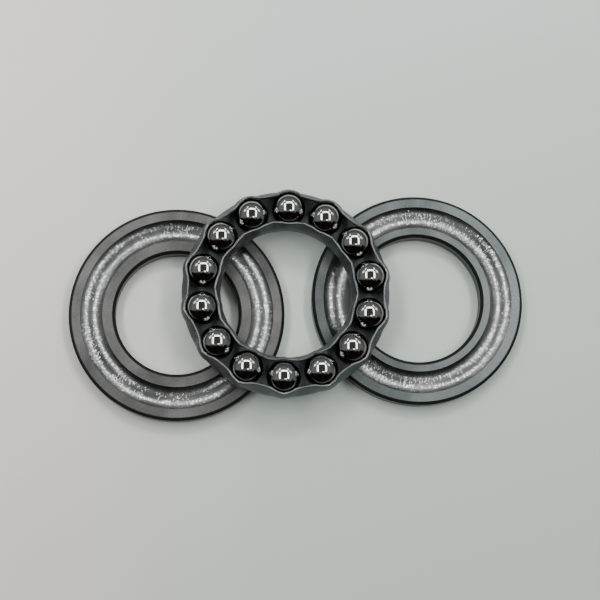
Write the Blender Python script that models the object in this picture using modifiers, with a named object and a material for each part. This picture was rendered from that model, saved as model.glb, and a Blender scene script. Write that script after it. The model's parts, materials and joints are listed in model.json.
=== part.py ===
"""Single-direction thrust ball bearing for a 20 mm shaft, taken apart and laid out flat.

The two washers lie side by side with their raceways up. The cage, with its fourteen balls,
lies across both of them. Metres, +Z up. The origin is the bottom centre of the box round
the laid-out parts.
"""

import math

import bmesh
import bpy
from mathutils import Matrix

MM = 0.001

# Boundary sizes
SHAFT_BORE = 20.0 * MM
OUTER_DIAMETER = 35.0 * MM
BEARING_HEIGHT = 10.0 * MM
HOUSING_BORE_RELIEF = 1.0 * MM
EDGE_CHAMFER = 0.4 * MM

# Balls and raceways
BALL_COUNT = 14
BALL_DIAMETER = 5.556 * MM
PITCH_SHIFT = 0.2 * MM
GROOVE_CONFORMITY = 0.52
GROOVE_DEPTH = 0.62 * MM

# Pressed sheet cage. Heights are measured from the plane of the ball centres.
SHEET_THICKNESS = 0.4 * MM
WEB_DROP = 1.7 * MM
RIM_RISE = 1.7 * MM
BEND_RADIUS = 0.5 * MM
POCKET_CLEARANCE = 0.15 * MM
OUTER_FLANGE_MARGIN = 0.0 * MM
INNER_FLANGE_MARGIN = 0.3 * MM
OUTER_CRIMP = 0.95 * MM
INNER_CRIMP = 0.8 * MM

# Layout on the table
WASHER_GAP = 4.54 * MM
SHAFT_WASHER_STAGGER = 2.37 * MM
CAGE_SHIFT_X = -2.18 * MM
CAGE_SHIFT_Y = 0.43 * MM
FIRST_BALL_ANGLE = math.radians(87.65)
REST_GAP = 0.25 * MM

# Mesh fineness
WASHER_STEPS = 60
GROOVE_POINTS = 7
BALL_SEGMENTS = 16
BALL_RINGS = 8
CAGE_STEPS_PER_BALL = 6
BEND_POINTS = 3
PUNCH_SIDES = 20
MERGE_DISTANCE = 0.00001
SMOOTH_ANGLE = math.radians(35)

# Values that follow from the sizes above
OUTER_RADIUS = OUTER_DIAMETER / 2
BALL_RADIUS = BALL_DIAMETER / 2
PITCH_RADIUS = (SHAFT_BORE + OUTER_DIAMETER) / 4 + PITCH_SHIFT / 2
BALL_PITCH = 2 * math.pi / BALL_COUNT
GROOVE_RADIUS = GROOVE_CONFORMITY * BALL_DIAMETER
GROOVE_HALF_WIDTH = math.sqrt(GROOVE_RADIUS ** 2 - (GROOVE_RADIUS - GROOVE_DEPTH) ** 2)
WASHER_THICKNESS = (BEARING_HEIGHT - BALL_DIAMETER) / 2 + GROOVE_DEPTH
BALL_PLANE = WASHER_THICKNESS + REST_GAP + BALL_RADIUS
POCKET_RADIUS = BALL_RADIUS + POCKET_CLEARANCE
SHEET_STANDOFF = POCKET_RADIUS + SHEET_THICKNESS / 2
CAGE_REACH = PITCH_RADIUS + SHEET_STANDOFF + SHEET_THICKNESS / 2

PARTS = "thrust_ball_bearing"
CUTTERS = "cutters"


def clear_scene():
    for obj in list(bpy.data.objects):
        bpy.data.objects.remove(obj)


def new_collection(name):
    collection = bpy.data.collections.new(name)
    bpy.context.scene.collection.children.link(collection)
    return collection


def steel(name, colour, roughness):
    """A bare steel: base colour in linear values, and how much its finish scatters."""
    material = bpy.data.materials.new(name)
    material.use_nodes = True
    shader = material.node_tree.nodes["Principled BSDF"]
    shader.inputs["Base Color"].default_value = (*colour, 1.0)
    shader.inputs["Metallic"].default_value = 1.0
    shader.inputs["Roughness"].default_value = roughness
    return material


def add_object(name, data, collection, location=(0, 0, 0), parent=None):
    obj = bpy.data.objects.new(name, data)
    collection.objects.link(obj)
    obj.location = location
    obj.parent = parent
    return obj


def shade_round(mesh):
    mesh.shade_smooth()
    mesh.set_sharp_from_angle(angle=SMOOTH_ANGLE)


def turned(name, outline, closed, steps, collection):
    """An object whose outline of (radius, height) points is turned once round Z."""
    mesh = bpy.data.meshes.new(name)
    edges = [(i, i + 1) for i in range(len(outline) - 1)]
    if closed:
        edges.append((len(outline) - 1, 0))
    mesh.from_pydata([(radius, 0, height) for radius, height in outline], edges, [])
    obj = add_object(name, mesh, collection)
    screw = obj.modifiers.new("turn", "SCREW")
    screw.axis = "Z"
    screw.angle = 2 * math.pi
    screw.steps = steps
    screw.render_steps = steps
    screw.use_merge_vertices = True
    screw.merge_threshold = MERGE_DISTANCE
    screw.use_smooth_shade = True
    return obj


def evaluated_mesh(obj):
    """The mesh that the object's modifiers give; the object itself is removed."""
    depsgraph = bpy.context.evaluated_depsgraph_get()
    mesh = bpy.data.meshes.new_from_object(obj.evaluated_get(depsgraph))
    bpy.data.objects.remove(obj)
    return mesh


def arc(centre, radius, start, end, points):
    """Points on an arc in the (radius, height) plane, both ends included."""
    return [
        (
            centre[0] + radius * math.cos(start + (end - start) * i / (points - 1)),
            centre[1] + radius * math.sin(start + (end - start) * i / (points - 1)),
        )
        for i in range(points)
    ]


def washer_outline(bore):
    """Down the outer side, in under the back, up the bore and out over the raceway."""
    inner = bore / 2
    top = WASHER_THICKNESS
    half_angle = math.asin(GROOVE_HALF_WIDTH / GROOVE_RADIUS)
    groove_centre = (PITCH_RADIUS, top - GROOVE_DEPTH + GROOVE_RADIUS)
    down = -math.pi / 2
    raceway = arc(groove_centre, GROOVE_RADIUS, down - half_angle, down + half_angle, GROOVE_POINTS)
    return [
        (OUTER_RADIUS, top - EDGE_CHAMFER),
        (OUTER_RADIUS, EDGE_CHAMFER),
        (OUTER_RADIUS - EDGE_CHAMFER, 0),
        (inner + EDGE_CHAMFER, 0),
        (inner, EDGE_CHAMFER),
        (inner, top - EDGE_CHAMFER),
        (inner + EDGE_CHAMFER, top),
        *raceway,
        (OUTER_RADIUS - EDGE_CHAMFER, top),
    ]


def add_washer(name, bore, centre, material, collection):
    blank = turned(name, washer_outline(bore), True, WASHER_STEPS, collection)
    mesh = evaluated_mesh(blank)
    mesh.name = name
    shade_round(mesh)
    mesh.materials.append(material)
    return add_object(name, mesh, collection, (*centre, 0))


def cage_outline():
    """Mid-line of the open channel: down the outer flange, in along the web, up the inner one."""
    outer = PITCH_RADIUS + BALL_RADIUS + OUTER_FLANGE_MARGIN
    inner = PITCH_RADIUS - BALL_RADIUS - INNER_FLANGE_MARGIN
    flange_foot = BEND_RADIUS - WEB_DROP
    heights = [RIM_RISE, RIM_RISE / 2, 0, flange_foot / 2]
    outer_bend = arc((outer - BEND_RADIUS, flange_foot), BEND_RADIUS, 0, -math.pi / 2, BEND_POINTS)
    inner_bend = arc((inner + BEND_RADIUS, flange_foot), BEND_RADIUS, -math.pi / 2, -math.pi, BEND_POINTS)
    down = [(outer, height) for height in heights]
    up = [(inner, height) for height in reversed(heights)]
    return down + outer_bend + inner_bend + up


def crimped_radius(radius, angle, height):
    """Where a point of the turned channel goes when its flanges are crimped between the balls.

    Above the ball plane the flanges are pressed in between the balls. At the balls they bulge
    round them, from the bends up.
    """
    flange_foot = BEND_RADIUS - WEB_DROP
    if height < flange_foot - MERGE_DISTANCE:
        return radius
    from_ball = abs((angle + BALL_PITCH / 2) % BALL_PITCH - BALL_PITCH / 2)
    share = from_ball / (BALL_PITCH / 2)
    up = max(height, 0) / RIM_RISE
    across = PITCH_RADIUS * math.sin(from_ball)
    reach = math.sqrt(max(SHEET_STANDOFF ** 2 - height ** 2 - across ** 2, 0))
    along = PITCH_RADIUS * math.cos(from_ball)
    if radius > PITCH_RADIUS:
        return max(radius - OUTER_CRIMP * up * share * (2 - share), along + reach)
    return min(radius + INNER_CRIMP * up * (2 + share ** 2) / 3, along - reach)


def crimp(mesh):
    for vertex in mesh.vertices:
        radius = math.hypot(vertex.co.x, vertex.co.y)
        angle = math.atan2(vertex.co.y, vertex.co.x)
        radius = crimped_radius(radius, angle, vertex.co.z)
        vertex.co.x = radius * math.cos(angle)
        vertex.co.y = radius * math.sin(angle)


def add_punches(collection, parent):
    """Round punches that open one seat hole in the web under each ball."""
    web_top = WEB_DROP - SHEET_THICKNESS / 2
    hole_radius = math.sqrt(POCKET_RADIUS ** 2 - web_top ** 2)
    depth = 2 * (BEND_RADIUS + SHEET_THICKNESS)
    shape = bmesh.new()
    bmesh.ops.create_cone(
        shape, cap_ends=True, segments=PUNCH_SIDES, radius1=hole_radius, radius2=hole_radius, depth=depth
    )
    mesh = bpy.data.meshes.new("punch")
    shape.to_mesh(mesh)
    shape.free()
    for i in range(BALL_COUNT):
        angle = i * BALL_PITCH
        place = (PITCH_RADIUS * math.cos(angle), PITCH_RADIUS * math.sin(angle), -WEB_DROP)
        punch = add_object(f"punch_{i + 1:02d}", mesh, collection, place, parent)
        punch.rotation_euler.z = angle
        punch.display_type = "WIRE"
        punch.hide_render = True


def add_cage(parent, material, collection, cutters):
    steps = BALL_COUNT * CAGE_STEPS_PER_BALL
    mesh = evaluated_mesh(turned("ball_cage", cage_outline(), False, steps, collection))
    mesh.name = "ball_cage"
    crimp(mesh)
    shade_round(mesh)
    mesh.materials.append(material)
    cage = add_object("ball_cage", mesh, collection, parent=parent)
    sheet = cage.modifiers.new("sheet", "SOLIDIFY")
    sheet.thickness = SHEET_THICKNESS
    sheet.offset = 0
    sheet.use_even_offset = True
    holes = cage.modifiers.new("seat_holes", "BOOLEAN")
    holes.operation = "DIFFERENCE"
    holes.solver = "EXACT"
    holes.operand_type = "COLLECTION"
    holes.collection = cutters
    return cage


def add_balls(parent, material, collection):
    """Balls share one mesh, whose poles lie on the radial axis that the ball rolls about."""
    shape = bmesh.new()
    bmesh.ops.create_uvsphere(
        shape,
        u_segments=BALL_SEGMENTS,
        v_segments=BALL_RINGS,
        radius=BALL_RADIUS,
        matrix=Matrix.Rotation(math.pi / 2, 4, "Y"),
    )
    mesh = bpy.data.meshes.new("ball")
    shape.to_mesh(mesh)
    shape.free()
    mesh.shade_smooth()
    mesh.materials.append(material)
    for i in range(BALL_COUNT):
        angle = i * BALL_PITCH
        place = (PITCH_RADIUS * math.cos(angle), PITCH_RADIUS * math.sin(angle), 0)
        ball = add_object(f"ball_{i + 1:02d}", mesh, collection, place, parent)
        ball.rotation_euler.z = angle


def layout():
    """Centres of the housing washer, the shaft washer and the cage, with the whole box centred."""
    half_spacing = (OUTER_DIAMETER + WASHER_GAP) / 2
    lowest = -SHAFT_WASHER_STAGGER - OUTER_RADIUS
    highest = max(OUTER_RADIUS, CAGE_SHIFT_Y + CAGE_REACH)
    middle = (lowest + highest) / 2
    housing = (half_spacing, -middle)
    shaft = (-half_spacing, -SHAFT_WASHER_STAGGER - middle)
    cage = (CAGE_SHIFT_X, CAGE_SHIFT_Y - middle)
    return housing, shaft, cage


def build():
    clear_scene()
    parts = new_collection(PARTS)
    cutters = new_collection(CUTTERS)
    housing_steel = steel("housing_washer_ground_steel", (0.30, 0.32, 0.31), 0.32)
    shaft_steel = steel("shaft_washer_ground_steel", (0.33, 0.32, 0.32), 0.32)
    cage_steel = steel("cage_pressed_steel", (0.12, 0.12, 0.12), 0.42)
    ball_steel = steel("ball_chrome_steel", (0.62, 0.62, 0.61), 0.06)
    housing_centre, shaft_centre, cage_centre = layout()

    housing_bore = SHAFT_BORE + HOUSING_BORE_RELIEF
    add_washer("housing_washer", housing_bore, housing_centre, housing_steel, parts)
    add_washer("shaft_washer", SHAFT_BORE, shaft_centre, shaft_steel, parts)

    cage_axis = add_object("cage_axis", None, parts, (*cage_centre, BALL_PLANE))
    cage_axis.rotation_euler.z = FIRST_BALL_ANGLE
    add_punches(cutters, cage_axis)
    add_cage(cage_axis, cage_steel, parts, cutters)
    add_balls(cage_axis, ball_steel, parts)


build()
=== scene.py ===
import json
import math

import bpy
from mathutils import Matrix, Vector


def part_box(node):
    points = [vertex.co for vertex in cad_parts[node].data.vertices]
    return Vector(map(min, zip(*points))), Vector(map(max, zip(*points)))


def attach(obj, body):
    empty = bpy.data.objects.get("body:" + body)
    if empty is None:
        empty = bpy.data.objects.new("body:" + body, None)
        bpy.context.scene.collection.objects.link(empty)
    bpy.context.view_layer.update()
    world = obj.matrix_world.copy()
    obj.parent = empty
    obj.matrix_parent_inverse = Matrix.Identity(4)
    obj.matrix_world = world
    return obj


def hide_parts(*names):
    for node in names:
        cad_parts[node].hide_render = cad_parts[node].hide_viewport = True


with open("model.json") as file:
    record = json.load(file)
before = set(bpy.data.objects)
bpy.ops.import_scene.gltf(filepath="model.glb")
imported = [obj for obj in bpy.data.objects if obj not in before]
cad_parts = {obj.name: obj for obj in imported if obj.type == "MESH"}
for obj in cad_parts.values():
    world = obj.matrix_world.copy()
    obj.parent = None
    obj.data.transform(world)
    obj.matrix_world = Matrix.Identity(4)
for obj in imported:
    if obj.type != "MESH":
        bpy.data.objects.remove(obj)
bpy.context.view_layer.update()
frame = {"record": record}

MM = 0.001

# Sizes of the bearing, as the CAD part has them
SHAFT_BORE = 20.0 * MM
HOUSING_BORE = 21.0 * MM
OUTER_DIAMETER = 35.0 * MM
PITCH_DIAMETER = 27.7 * MM
BALL_DIAMETER = 5.556 * MM
EDGE_CHAMFER = 0.4 * MM
UNGROUND_EDGE = 0.1 * MM
GROOVE_RADIUS = 0.52 * BALL_DIAMETER
GROOVE_DEPTH = 0.62 * MM
SHEET_THICKNESS = 0.4 * MM
WEB_DROP = 1.7 * MM
RIM_RISE = 1.7 * MM
BEND_RADIUS = 0.5 * MM
POCKET_CLEARANCE = 0.15 * MM
INNER_FLANGE_MARGIN = 0.3 * MM
OUTER_CRIMP = 0.95 * MM
INNER_CRIMP = 0.8 * MM
BALL_COUNT = 14

# Mesh fineness
WASHER_STEPS = 256
GROOVE_POINTS = 41
BALL_SEGMENTS = 64
BALL_RINGS = 32
CHANNEL_STEPS = BALL_COUNT * 24
FLANGE_POINTS = 13
BEND_POINTS = 9
PUNCH_SIDES = 72
RIM_ROUNDING = 0.12 * MM
CRIMP_BLEND = 0.3 * MM
SMOOTH_ANGLE = math.radians(35)

PITCH_RADIUS = PITCH_DIAMETER / 2
BALL_RADIUS = BALL_DIAMETER / 2
BALL_PITCH = 2 * math.pi / BALL_COUNT
SHEET_STANDOFF = BALL_RADIUS + POCKET_CLEARANCE + SHEET_THICKNESS / 2
FLANGE_FOOT = BEND_RADIUS - WEB_DROP
JOINTS = {joint["name"]: joint for joint in frame["record"]["behaviour"]["joints"]}


def linear(hex_colour, alpha=1.0):
    """An sRGB hex colour as linear red, green, blue and alpha."""
    values = [int(hex_colour[i : i + 2], 16) / 255 for i in (0, 2, 4)]
    return (*[v / 12.92 if v <= 0.04045 else ((v + 0.055) / 1.055) ** 2.4 for v in values], alpha)


def add_node(tree, kind, inputs=None, **settings):
    """Adds a node; an input is a value to set or an output to link, by the socket's name or number."""
    node = tree.nodes.new(kind)
    for name, value in settings.items():
        setattr(node, name, value)
    for key, value in (inputs or {}).items():
        if isinstance(value, bpy.types.NodeSocket):
            tree.links.new(value, node.inputs[key])
        else:
            node.inputs[key].default_value = value
    return node


# ---------------------------------------------------------------- materials


def new_material(name):
    material = bpy.data.materials.new(name)
    material.use_nodes = True
    tree = material.node_tree
    return material, tree, tree.nodes["Principled BSDF"]


def piece_position(tree, centre):
    """Position measured from the piece's own centre, in metres."""
    coordinates = add_node(tree, "ShaderNodeTexCoord")
    place = add_node(tree, "ShaderNodeMapping", {"Vector": coordinates.outputs["Object"]})
    place.inputs["Location"].default_value = [-value for value in centre]
    return place.outputs["Vector"]


def maths(tree, operation, *values):
    node = add_node(tree, "ShaderNodeMath", dict(enumerate(values)), operation=operation)
    return node.outputs[0]


def noise(tree, vector, size_mm, detail=3.0, roughness=0.5):
    """Noise whose grain is about size_mm across."""
    settings = {"Vector": vector, "Scale": 1 / (size_mm * MM), "Detail": detail, "Roughness": roughness}
    return add_node(tree, "ShaderNodeTexNoise", settings).outputs["Fac"]


def blend_colours(tree, factor, low, high):
    mixed = add_node(tree, "ShaderNodeMix", {"Factor": factor}, data_type="RGBA")
    mixed.inputs["A"].default_value = linear(low)
    mixed.inputs["B"].default_value = linear(high)
    return mixed.outputs["Result"]


def spread(tree, value, low, high, to_low=0.0, to_high=1.0):
    settings = {"Value": value, "From Min": low, "From Max": high, "To Min": to_low, "To Max": to_high}
    return add_node(tree, "ShaderNodeMapRange", settings).outputs["Result"]


def ring_coordinates(tree, centre):
    """Radius from the ring's axis, and a point that runs once round a circle of the pitch radius."""
    position = piece_position(tree, centre)
    flat = add_node(tree, "ShaderNodeVectorMath", {0: position, 1: (1, 1, 0)}, operation="MULTIPLY")
    radius = add_node(tree, "ShaderNodeVectorMath", {0: flat.outputs[0]}, operation="LENGTH")
    outward = add_node(tree, "ShaderNodeVectorMath", {0: flat.outputs[0]}, operation="NORMALIZE")
    round_ring = add_node(
        tree, "ShaderNodeVectorMath", {0: outward.outputs[0], "Scale": PITCH_RADIUS}, operation="SCALE"
    )
    return position, radius.outputs["Value"], round_ring.outputs[0]


def add_bump(tree, shader, height, distance_mm, strength, socket="Normal"):
    settings = {"Height": height, "Distance": distance_mm * MM, "Strength": strength}
    bump = add_node(tree, "ShaderNodeBump", settings)
    tree.links.new(bump.outputs["Normal"], shader.inputs[socket])


def ground_steel(name, centre, low, high):
    """Hardened bearing steel, ring-ground flat: grey satin with faint circular lay and dull spots."""
    material, tree, shader = new_material(name)
    position, radius, _ = ring_coordinates(tree, centre)
    cloud = noise(tree, position, 5.0, 4.0)
    speck = noise(tree, position, 0.35, 2.0)
    tone = maths(tree, "ADD", maths(tree, "MULTIPLY", cloud, 0.6), maths(tree, "MULTIPLY", speck, 0.4))
    tree.links.new(blend_colours(tree, spread(tree, tone, 0.3, 0.7), low, high), shader.inputs["Base Color"])
    shader.inputs["Metallic"].default_value = 1.0
    tree.links.new(spread(tree, cloud, 0.25, 0.75, 0.31, 0.4), shader.inputs["Roughness"])
    # The real lay is finer than 0.05 mm; it is drawn 0.1 mm apart so that it shows.
    lay = add_node(tree, "ShaderNodeCombineXYZ", {"X": radius})
    lines = noise(tree, lay.outputs[0], 0.1, 1.0)
    add_bump(tree, shader, lines, 0.02, 0.35)
    return material


def raceway_steel(name, centre):
    """Ground raceway under an oil film: a grey sheen, and short glints where it rides over chatter."""
    material, tree, shader = new_material(name)
    position, radius, round_ring = ring_coordinates(tree, centre)
    along = add_node(tree, "ShaderNodeCombineXYZ", {"Z": maths(tree, "MULTIPLY", radius, 0.4)})
    strokes = {0: round_ring, 1: along.outputs[0]}
    stroke_place = add_node(tree, "ShaderNodeVectorMath", strokes, operation="ADD").outputs[0]
    cloud = noise(tree, position, 4.0, 3.0)
    tree.links.new(blend_colours(tree, cloud, "5e6060", "828482"), shader.inputs["Base Color"])
    shader.inputs["Metallic"].default_value = 1.0
    tree.links.new(spread(tree, cloud, 0.3, 0.7, 0.27, 0.36), shader.inputs["Roughness"])
    chatter = noise(tree, stroke_place, 0.28, 1.0)
    patches = spread(tree, noise(tree, position, 3.0, 2.0), 0.38, 0.6, 0.35, 1.4)
    dents = noise(tree, position, 0.4, 1.0)
    shallow = maths(tree, "MULTIPLY", dents, 0.5)
    height = maths(tree, "ADD", maths(tree, "MULTIPLY", chatter, patches), shallow)
    add_bump(tree, shader, height, 0.02, 0.6)
    broken = maths(tree, "ADD", chatter, shallow)
    tree.links.new(spread(tree, broken, 0.68, 0.8), shader.inputs["Coat Weight"])
    shader.inputs["Coat IOR"].default_value = 2.3
    shader.inputs["Coat Roughness"].default_value = 0.03
    add_bump(tree, shader, height, 0.085, 1.0, "Coat Normal")
    return material


def scaled_edge(name, centre):
    """Heat-treatment scale left on the unground chamfers: dull near-black oxide."""
    material, tree, shader = new_material(name)
    position = piece_position(tree, centre)
    cloud = noise(tree, position, 0.8, 3.0)
    tree.links.new(blend_colours(tree, cloud, "060707", "141516"), shader.inputs["Base Color"])
    shader.inputs["Specular IOR Level"].default_value = 0.25
    shader.inputs["Roughness"].default_value = 0.65
    add_bump(tree, shader, cloud, 0.02, 0.3)
    return material


def turned_side(name, centre):
    """Ground bore and outer wall: satin steel with fine rings along the height, darkened as painted shade
    for the dark bore.
    """
    material, tree, shader = new_material(name)
    position = piece_position(tree, centre)
    height = add_node(tree, "ShaderNodeSeparateXYZ", {"Vector": position}).outputs["Z"]
    ring = noise(tree, add_node(tree, "ShaderNodeCombineXYZ", {"Z": height}).outputs[0], 0.12, 2.0)
    # Painted shade: this dark base colour, below the steel's own grey, stands for the shade seen down the
    # bore.
    tree.links.new(blend_colours(tree, ring, "3a3d3d", "565959"), shader.inputs["Base Color"])
    shader.inputs["Metallic"].default_value = 1.0
    shader.inputs["Roughness"].default_value = 0.36
    add_bump(tree, shader, ring, 0.02, 0.3)
    return material


def pressed_sheet(centre):
    """Oiled cold-rolled sheet, pressed: dark grey, semi-matt, with drawing marks and faint oil clouds."""
    material, tree, shader = new_material("pressed_oiled_sheet_steel")
    position, _, round_ring = ring_coordinates(tree, centre)
    cloud = noise(tree, position, 2.2, 4.0)
    tree.links.new(blend_colours(tree, cloud, "4a4e4f", "6c7071"), shader.inputs["Base Color"])
    shader.inputs["Metallic"].default_value = 0.9
    tree.links.new(spread(tree, cloud, 0.3, 0.7, 0.42, 0.58), shader.inputs["Roughness"])
    draw_marks = noise(tree, round_ring, 0.3, 2.0)
    grain = noise(tree, position, 0.12, 2.0)
    drawn = maths(tree, "MULTIPLY", draw_marks, 0.6)
    height = maths(tree, "ADD", drawn, maths(tree, "MULTIPLY", grain, 0.4))
    add_bump(tree, shader, height, 0.02, 0.35)
    return material


def worn_rim(centre):
    """Sheared rim of the cage, rubbed bright where the die and the washers touched it."""
    material, tree, shader = new_material("worn_bright_rim_steel")
    position = piece_position(tree, centre)
    cloud = noise(tree, position, 1.2, 3.0)
    tree.links.new(blend_colours(tree, cloud, "4c4f50", "828584"), shader.inputs["Base Color"])
    shader.inputs["Metallic"].default_value = 1.0
    tree.links.new(spread(tree, cloud, 0.3, 0.7, 0.25, 0.4), shader.inputs["Roughness"])
    add_bump(tree, shader, cloud, 0.02, 0.3)
    return material


def lapped_ball(centre):
    """Lapped chrome steel: a mirror with the faintest haze and oil film."""
    material, tree, shader = new_material("lapped_chrome_ball_steel")
    position = piece_position(tree, centre)
    haze = noise(tree, position, 1.6, 3.0)
    tree.links.new(blend_colours(tree, haze, "989997", "a6a7a4"), shader.inputs["Base Color"])
    shader.inputs["Metallic"].default_value = 1.0
    tree.links.new(spread(tree, haze, 0.3, 0.7, 0.03, 0.07), shader.inputs["Roughness"])
    return material


def table_top():
    """Pale laminate table, matt, a little warmer towards the left; painted shade darkens it towards the
    front right and far from the bearing.
    """
    material, tree, shader = new_material("pale_laminate_table")
    coordinates = add_node(tree, "ShaderNodeTexCoord").outputs["Object"]
    x, y, _ = add_node(tree, "ShaderNodeSeparateXYZ", {"Vector": coordinates}).outputs
    # Painted shade: the table colour darkens towards the front right, where the light falls off.
    forward = maths(tree, "SUBTRACT", maths(tree, "MULTIPLY", x, 0.5), y)
    painted_shade_share = spread(tree, forward, -60 * MM, 60 * MM)
    warm = blend_colours(tree, painted_shade_share, "f9f2e9", "d3c6bc")
    cool = blend_colours(tree, painted_shade_share, "dce7df", "bac7bf")
    mixed = add_node(tree, "ShaderNodeMix", {"Factor": spread(tree, x, -55 * MM, -5 * MM)}, data_type="RGBA")
    tree.links.new(warm, mixed.inputs["A"])
    tree.links.new(cool, mixed.inputs["B"])
    # Painted shade: far from the bearing the table colour darkens to grey, as if the table ended in shadow.
    away = add_node(tree, "ShaderNodeVectorMath", {0: coordinates}, operation="LENGTH").outputs["Value"]
    far_shade_share = spread(tree, away, 75 * MM, 260 * MM)
    far_painted_shade = add_node(tree, "ShaderNodeMix", {"Factor": far_shade_share}, data_type="RGBA")
    tree.links.new(mixed.outputs["Result"], far_painted_shade.inputs["A"])
    far_painted_shade.inputs["B"].default_value = linear("7c807e")
    tree.links.new(far_painted_shade.outputs["Result"], shader.inputs["Base Color"])
    shader.inputs["Roughness"].default_value = 0.55
    return material


# ---------------------------------------------------------------- shapes


def arc(centre, radius, start, end, points):
    turns = [start + (end - start) * i / (points - 1) for i in range(points)]
    return [(centre[0] + radius * math.cos(t), centre[1] + radius * math.sin(t)) for t in turns]


def lathe(name, outline, finishes, closed, steps, materials):
    """Turns (radius, height) points round Z; finishes gives each band between two points its material."""
    mesh = bpy.data.meshes.new(name)
    turns = [2 * math.pi * k / steps for k in range(steps)]
    vertices = [(r * math.cos(t), r * math.sin(t), h) for t in turns for r, h in outline]
    size = len(outline)
    bands = size if closed else size - 1
    faces, bands_used = [], []
    for k in range(steps):
        here, there = k * size, (k + 1) % steps * size
        for i in range(bands):
            j = (i + 1) % size
            faces.append((here + i, here + j, there + j, there + i))
            bands_used.append(finishes[i])
    mesh.from_pydata(vertices, [], faces)
    for material in materials:
        mesh.materials.append(material)
    mesh.polygons.foreach_set("material_index", bands_used)
    return mesh


def add_piece(name, mesh):
    piece = bpy.data.objects.new(name, mesh)
    bpy.context.scene.collection.objects.link(piece)
    return piece


def shade_round(mesh):
    mesh.shade_smooth()
    mesh.set_sharp_from_angle(angle=SMOOTH_ANGLE)


def finished(piece, name):
    """The piece with every modifier made into one plain mesh."""
    depsgraph = bpy.context.evaluated_depsgraph_get()
    mesh = bpy.data.meshes.new_from_object(piece.evaluated_get(depsgraph))
    mesh.name = name
    piece.modifiers.clear()
    piece.data = mesh
    return mesh


LAND, RACEWAY, SCALE, SIDE = range(4)


def washer_outline(bore, thickness):
    """Down the outer side, in under the back, up the bore and out over the raceway."""
    inner, outer, edge = bore / 2, OUTER_DIAMETER / 2, EDGE_CHAMFER
    half_angle = math.acos((GROOVE_RADIUS - GROOVE_DEPTH) / GROOVE_RADIUS)
    centre = (PITCH_RADIUS, thickness - GROOVE_DEPTH + GROOVE_RADIUS)
    down = -math.pi / 2
    groove = arc(centre, GROOVE_RADIUS, down - half_angle, down + half_angle, GROOVE_POINTS)
    points = [
        ((outer, thickness - edge), SIDE),
        ((outer, edge), SCALE),
        ((outer - edge, 0), LAND),
        ((inner + edge, 0), SCALE),
        ((inner, edge), SIDE),
        ((inner, thickness - edge), SCALE),
        ((inner + edge, thickness), SCALE),
        ((inner + edge + UNGROUND_EDGE, thickness), LAND),
        *[(point, RACEWAY) for point in groove[:-1]],
        (groove[-1], LAND),
        ((outer - edge - UNGROUND_EDGE, thickness), SCALE),
        ((outer - edge, thickness), SCALE),
    ]
    return [point for point, _ in points], [finish for _, finish in points]


def make_washer(node, body, bore, low, high):
    lowest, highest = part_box(node)
    centre = ((lowest[0] + highest[0]) / 2, (lowest[1] + highest[1]) / 2, lowest[2])
    materials = [
        ground_steel(f"{node}_ground_land", centre, low, high),
        raceway_steel(f"{node}_superfinished_raceway", centre),
        scaled_edge(f"{node}_scaled_chamfer", centre),
        turned_side(f"{node}_ground_side", centre),
    ]
    outline, finishes = washer_outline(bore, highest[2] - lowest[2])
    mesh = lathe(f"{node}_ring", outline, finishes, True, WASHER_STEPS, materials)
    mesh.transform(Matrix.Translation(centre))
    shade_round(mesh)
    ring = add_piece(f"{node}_ring", mesh)
    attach(ring, body)
    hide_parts(node)
    return ring


def new_tree(name, inputs):
    """An empty Geometry Nodes tree with a geometry in and out, and these named inputs."""
    tree = bpy.data.node_groups.new(name, "GeometryNodeTree")
    tree.interface.new_socket("Geometry", in_out="INPUT", socket_type="NodeSocketGeometry")
    tree.interface.new_socket("Geometry", in_out="OUTPUT", socket_type="NodeSocketGeometry")
    for label, kind in inputs.items():
        tree.interface.new_socket(label, in_out="INPUT", socket_type=f"NodeSocket{kind}")
    return tree, add_node(tree, "NodeGroupInput").outputs


def end_tree(tree, geometry, material, selection=None):
    realized = add_node(tree, "GeometryNodeRealizeInstances", {"Geometry": geometry})
    settings = {"Geometry": realized.outputs[0], "Material": material}
    if selection is not None:
        settings["Selection"] = selection
    painted = add_node(tree, "GeometryNodeSetMaterial", settings)
    add_node(tree, "NodeGroupOutput", {"Geometry": painted.outputs[0]})


def use_tree(piece, tree, values):
    modifier = piece.modifiers.new(tree.name, "NODES")
    modifier.node_group = tree
    for item in tree.interface.items_tree:
        if item.in_out == "INPUT" and item.name in values:
            modifier[item.identifier] = values[item.name]
    return modifier


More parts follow.
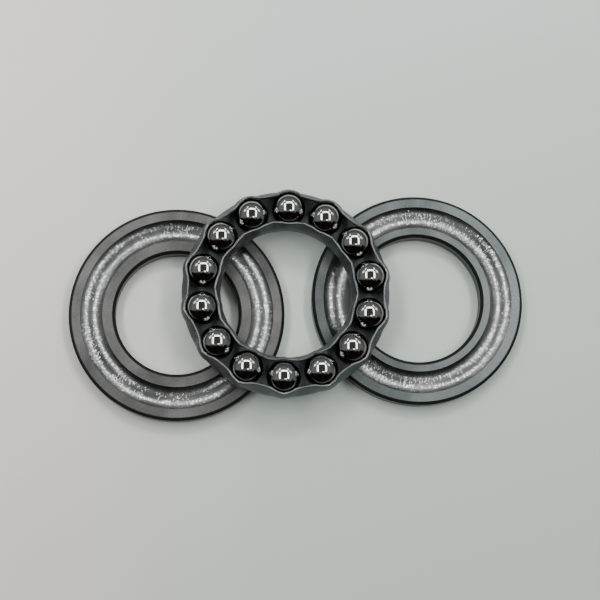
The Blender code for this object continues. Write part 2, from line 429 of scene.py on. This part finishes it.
def crimp_tree():
    """Presses the flanges of a turned channel in between the balls, and bulges them round each ball."""
    sizes = ("Pitch radius", "Standoff", "Foot", "Rim", "Outer crimp", "Inner crimp", "Blend")
    inputs = {"Balls": "Int", "Material": "Material", **{label: "Float" for label in sizes}}
    tree, given = new_tree("flange_crimp", inputs)
    position = add_node(tree, "GeometryNodeInputPosition").outputs[0]
    x, y, z = add_node(tree, "ShaderNodeSeparateXYZ", {0: position}).outputs
    squares = [maths(tree, "POWER", part, 2.0) for part in (x, y)]
    radius = maths(tree, "SQRT", maths(tree, "ADD", *squares))
    angle = maths(tree, "ARCTAN2", y, x)
    half_pitch = maths(tree, "DIVIDE", math.pi, given["Balls"])
    wrapped = maths(tree, "WRAP", angle, half_pitch, maths(tree, "MULTIPLY", half_pitch, -1.0))
    from_ball = maths(tree, "ABSOLUTE", wrapped)
    share = maths(tree, "DIVIDE", from_ball, half_pitch)
    above_foot = maths(tree, "SUBTRACT", z, given["Foot"])
    above_balls = maths(tree, "SMOOTH_MAX", z, 0.0, given["Blend"])
    up = maths(tree, "DIVIDE", above_balls, given["Rim"])
    along = maths(tree, "MULTIPLY", given["Pitch radius"], maths(tree, "COSINE", from_ball))
    across = maths(tree, "MULTIPLY", given["Pitch radius"], maths(tree, "SINE", from_ball))
    standoff_squared = maths(tree, "POWER", given["Standoff"], 2.0)
    room = maths(tree, "SUBTRACT", standoff_squared, maths(tree, "POWER", z, 2.0))
    room = maths(tree, "SUBTRACT", room, maths(tree, "POWER", across, 2.0))
    reach = maths(tree, "SQRT", maths(tree, "MAXIMUM", room, 0.0))

    outer_wave = maths(tree, "MULTIPLY", share, maths(tree, "SUBTRACT", 2.0, share))
    outer_press = maths(tree, "MULTIPLY", maths(tree, "MULTIPLY", given["Outer crimp"], up), outer_wave)
    pressed_in = maths(tree, "SUBTRACT", radius, outer_press)
    outer = maths(tree, "SMOOTH_MAX", pressed_in, maths(tree, "ADD", along, reach), given["Blend"])
    inner_wave = maths(tree, "DIVIDE", maths(tree, "ADD", maths(tree, "POWER", share, 2.0), 2.0), 3.0)
    inner_press = maths(tree, "MULTIPLY", maths(tree, "MULTIPLY", given["Inner crimp"], up), inner_wave)
    pressed_out = maths(tree, "ADD", radius, inner_press)
    inner = maths(tree, "SMOOTH_MIN", pressed_out, maths(tree, "SUBTRACT", along, reach), given["Blend"])

    is_outer = maths(tree, "GREATER_THAN", radius, given["Pitch radius"])
    flange = add_node(tree, "ShaderNodeMix", {"Factor": is_outer, "A": inner, "B": outer}).outputs[0]
    onset = {"Value": above_foot, "From Max": given["Blend"]}
    weight = add_node(tree, "ShaderNodeMapRange", onset, interpolation_type="SMOOTHSTEP").outputs[0]
    goal = add_node(tree, "ShaderNodeMix", {"Factor": weight, "A": radius, "B": flange}).outputs[0]
    scale = maths(tree, "DIVIDE", goal, radius)
    moved = add_node(tree, "ShaderNodeCombineXYZ", {0: maths(tree, "MULTIPLY", x, scale),
                                                   1: maths(tree, "MULTIPLY", y, scale), 2: z})
    pressed = {"Geometry": given["Geometry"], "Position": moved.outputs[0]}
    crimped = add_node(tree, "GeometryNodeSetPosition", pressed)
    end_tree(tree, crimped.outputs[0], given["Material"])
    return tree


def seat_hole_tree():
    """Punches one round seat hole in the web under each ball."""
    sizes = ("Pitch radius", "Hole radius", "Web drop", "Depth")
    inputs = {"Balls": "Int", "Sides": "Int", "Material": "Material", **{label: "Float" for label in sizes}}
    tree, given = new_tree("seat_holes", inputs)
    ring = {"Vertices": given["Balls"], "Radius": given["Pitch radius"]}
    seats = add_node(tree, "GeometryNodeMeshCircle", ring)
    shape = {"Vertices": given["Sides"], "Radius": given["Hole radius"], "Depth": given["Depth"]}
    punch = add_node(tree, "GeometryNodeMeshCylinder", shape)
    at_seats = {"Points": seats.outputs[0], "Instance": punch.outputs[0]}
    placed = add_node(tree, "GeometryNodeInstanceOnPoints", at_seats)
    punches = add_node(tree, "GeometryNodeRealizeInstances", {"Geometry": placed.outputs[0]})
    lowered = maths(tree, "MULTIPLY", given["Web drop"], -1.0)
    offset = add_node(tree, "ShaderNodeCombineXYZ", {"Z": lowered})
    at_web = {"Geometry": punches.outputs[0], "Translation": offset.outputs[0]}
    punches = add_node(tree, "GeometryNodeTransform", at_web)
    paint = {"Geometry": punches.outputs[0], "Material": given["Material"]}
    painted = add_node(tree, "GeometryNodeSetMaterial", paint)
    cut = add_node(tree, "GeometryNodeMeshBoolean", operation="DIFFERENCE")
    tree.links.new(given["Geometry"], cut.inputs["Mesh 1"])
    tree.links.new(painted.outputs[0], cut.inputs["Mesh 2"])
    index = add_node(tree, "GeometryNodeInputMaterialIndex").outputs[0]
    sheet_faces = maths(tree, "LESS_THAN", index, 0.5)
    end_tree(tree, cut.outputs[0], given["Material"], sheet_faces)
    return tree


def ball_tree():
    """A ball whose poles lie on the axis that it rolls about."""
    inputs = {"Segments": "Int", "Rings": "Int", "Radius": "Float", "Centre": "Vector", "Turn": "Vector"}
    tree, given = new_tree("lapped_ball", {**inputs, "Material": "Material"})
    shape = {"Segments": given["Segments"], "Rings": given["Rings"], "Radius": given["Radius"]}
    sphere = add_node(tree, "GeometryNodeMeshUVSphere", shape)
    place = {"Geometry": sphere.outputs[0], "Translation": given["Centre"], "Rotation": given["Turn"]}
    placed = add_node(tree, "GeometryNodeTransform", place)
    smooth = add_node(tree, "GeometryNodeSetShadeSmooth", {"Geometry": placed.outputs[0]})
    end_tree(tree, smooth.outputs[0], given["Material"])
    return tree


def channel_outline():
    """Mid-line of the sheet: down the outer flange, in along the web and up the inner flange."""
    outer = PITCH_RADIUS + BALL_RADIUS
    inner = PITCH_RADIUS - BALL_RADIUS - INNER_FLANGE_MARGIN
    heights = [RIM_RISE + (FLANGE_FOOT - RIM_RISE) * i / (FLANGE_POINTS - 1) for i in range(FLANGE_POINTS)]
    outer_bend = arc((outer - BEND_RADIUS, FLANGE_FOOT), BEND_RADIUS, 0, -math.pi / 2, BEND_POINTS)
    inner_bend = arc((inner + BEND_RADIUS, FLANGE_FOOT), BEND_RADIUS, -math.pi / 2, -math.pi, BEND_POINTS)
    down = [(outer, height) for height in heights[:-1]]
    up = [(inner, height) for height in reversed(heights[:-1])]
    return down + outer_bend + inner_bend + up


def make_cage():
    hinge = Vector(JOINTS["cage_spin"]["pos_m"])
    first = Vector(JOINTS["ball_01_roll"]["pos_m"]) - hinge
    sheet_steel, rim_steel = pressed_sheet(hinge), worn_rim(hinge)
    outline = channel_outline()
    mesh = lathe("cage_channel", outline, [0] * len(outline), False, CHANNEL_STEPS, [sheet_steel, rim_steel])
    cage = add_piece("crimped_cage", mesh)
    use_tree(cage, crimp_tree(), {
        "Balls": BALL_COUNT, "Pitch radius": PITCH_RADIUS, "Standoff": SHEET_STANDOFF, "Foot": FLANGE_FOOT,
        "Rim": RIM_RISE, "Outer crimp": OUTER_CRIMP, "Inner crimp": INNER_CRIMP, "Blend": CRIMP_BLEND,
        "Material": sheet_steel,
    })
    sheet = cage.modifiers.new("sheet", "SOLIDIFY")
    sheet.thickness = SHEET_THICKNESS
    sheet.offset = 0
    sheet.use_even_offset = True
    sheet.material_offset_rim = 1
    rounding = cage.modifiers.new("rim_rounding", "BEVEL")
    rounding.width = RIM_ROUNDING
    rounding.segments = 4
    rounding.limit_method = "ANGLE"
    rounding.angle_limit = math.radians(60)
    web_top = WEB_DROP - SHEET_THICKNESS / 2
    use_tree(cage, seat_hole_tree(), {
        "Balls": BALL_COUNT, "Sides": PUNCH_SIDES, "Pitch radius": PITCH_RADIUS, "Web drop": WEB_DROP,
        "Hole radius": math.sqrt((BALL_RADIUS + POCKET_CLEARANCE) ** 2 - web_top ** 2),
        "Depth": 2 * (BEND_RADIUS + SHEET_THICKNESS), "Material": sheet_steel,
    })
    mesh = finished(cage, "crimped_cage")
    mesh.transform(Matrix.Translation(hinge) @ Matrix.Rotation(math.atan2(first.y, first.x), 4, "Z"))
    shade_round(mesh)
    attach(cage, "cage")
    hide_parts("ball_cage")
    return cage


def make_balls():
    tree = ball_tree()
    for number in range(1, BALL_COUNT + 1):
        node = f"ball_{number:02d}"
        joint = JOINTS[f"{node}_roll"]
        centre, axis = joint["pos_m"], joint["axis"]
        ball = add_piece(f"{node}_lapped", bpy.data.meshes.new(node))
        use_tree(ball, tree, {
            "Segments": BALL_SEGMENTS, "Rings": BALL_RINGS, "Radius": BALL_RADIUS, "Centre": centre,
            "Turn": (0, math.pi / 2, math.atan2(axis[1], axis[0])), "Material": lapped_ball(centre),
        })
        finished(ball, f"{node}_lapped")
        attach(ball, node)
        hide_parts(node)


# ---------------------------------------------------------------- camera, table and light

CAMERA_PLACE = Vector((-14.73, -40.45, 211.3)) * MM
CAMERA_AIM = Vector((0.27, 0.95, 2.85)) * MM
FOCAL_LENGTH_MM = 78.0
SENSOR_WIDTH_MM = 36.0


def camera_axes():
    """Right, up and back of a long lens a little short of overhead, with the X axis level in the view."""
    back = (CAMERA_PLACE - CAMERA_AIM).normalized()
    right = (Vector((1, 0, 0)) - back * back.x).normalized()
    return right, back.cross(right), back


def make_camera():
    data = bpy.data.cameras.new("camera")
    data.lens = FOCAL_LENGTH_MM
    data.sensor_width = SENSOR_WIDTH_MM
    data.clip_start = 0.01
    camera = bpy.data.objects.new("camera", data)
    bpy.context.scene.collection.objects.link(camera)
    turn = Matrix(camera_axes()).transposed().to_4x4()
    camera.matrix_world = Matrix.Translation(CAMERA_PLACE) @ turn
    bpy.context.scene.camera = camera


def make_table():
    side = 1.2
    mesh = bpy.data.meshes.new("table")
    level = -0.00002
    corners = [(-side, -side, level), (side, -side, level), (side, side, level), (-side, side, level)]
    mesh.from_pydata(corners, [], [(0, 1, 2, 3)])
    mesh.materials.append(table_top())
    table = add_piece("table", mesh)


CEILING = 0.6
DARK_MIDDLE = (0.01, 0.14)
DARK_HALF_SIZE = (0.38, 0.46)


def add_panel(name, x, y, width, height, radiance):
    """A lamp panel facing down; its place and size are shares of the ceiling height."""
    data = bpy.data.lights.new(name, "AREA")
    data.shape = "RECTANGLE"
    data.size = width * CEILING
    data.size_y = height * CEILING
    data.energy = radiance * math.pi * data.size * data.size_y
    lamp = bpy.data.objects.new(name, data)
    bpy.context.scene.collection.objects.link(lamp)
    lamp.location = (x * CEILING, y * CEILING, CEILING)


def make_light():
    """A ring of panels round a dark middle overhead; a grey room to the north, a dark one to the south."""
    add_panel("north_panel", 0.05, 0.8, 0.9, 0.3, 9.5)
    add_panel("west_panel", -0.53, 0.17, 0.22, 0.9, 11.0)
    add_panel("east_panel", 0.53, 0.17, 0.2, 0.9, 11.0)
    add_panel("south_panel", 0.19, -0.3, 0.24, 0.12, 5.0)
    for side, name in ((-1, "west"), (1, "east")):
        add_panel(f"{name}_far_panel", side * 1.2, 0.85, 0.6, 0.5, 3.0)
        add_panel(f"{name}_north_panel", side * 0.75, 1.4, 0.2, 0.6, 6.0)
    world = bpy.data.worlds.new("room")
    bpy.context.scene.world = world
    world.use_nodes = True
    tree = world.node_tree
    background = tree.nodes["Background"]
    direction = add_node(tree, "ShaderNodeTexCoord").outputs["Generated"]
    x, y, z = add_node(tree, "ShaderNodeSeparateXYZ", {0: direction}).outputs
    above = maths(tree, "MAXIMUM", z, 0.05)
    from_middle = []
    for value, middle, half in zip((x, y), DARK_MIDDLE, DARK_HALF_SIZE):
        offset = maths(tree, "SUBTRACT", maths(tree, "DIVIDE", value, above), middle)
        from_middle.append(maths(tree, "DIVIDE", maths(tree, "ABSOLUTE", offset), half))
    outside = spread(tree, maths(tree, "MAXIMUM", *from_middle), 0.85, 1.1, 0.35, 1.0)
    walls = spread(tree, z, 0.1, 0.45, 0.16, 0.34)
    ceiling = maths(tree, "MULTIPLY", walls, outside)
    clutter = noise(tree, direction, 350.0, 3.0)
    raised = maths(tree, "ADD", y, maths(tree, "MULTIPLY", z, 0.45))
    north = maths(tree, "ADD", raised, maths(tree, "MULTIPLY", clutter, 0.9))
    clear = spread(tree, north, 0.3, 0.58)
    dark = blend_colours(tree, spread(tree, clutter, 0.4, 0.65), "0b0a0a", "2c2022")
    sky = add_node(tree, "ShaderNodeMix", {"Factor": clear}, data_type="RGBA")
    tree.links.new(dark, sky.inputs["A"])
    sky.inputs["B"].default_value = linear("f4f8f4")
    tree.links.new(sky.outputs["Result"], background.inputs["Color"])
    strength = add_node(tree, "ShaderNodeMix", {"Factor": clear, "A": 1.0, "B": ceiling}).outputs[0]
    tree.links.new(strength, background.inputs["Strength"])


make_camera()
make_table()
make_light()
make_washer("housing_washer", "housing_washer", HOUSING_BORE, "5a6161", "757c7a")
make_washer("shaft_washer", "shaft_washer", SHAFT_BORE, "606060", "7c7c7a")
make_cage()
make_balls()
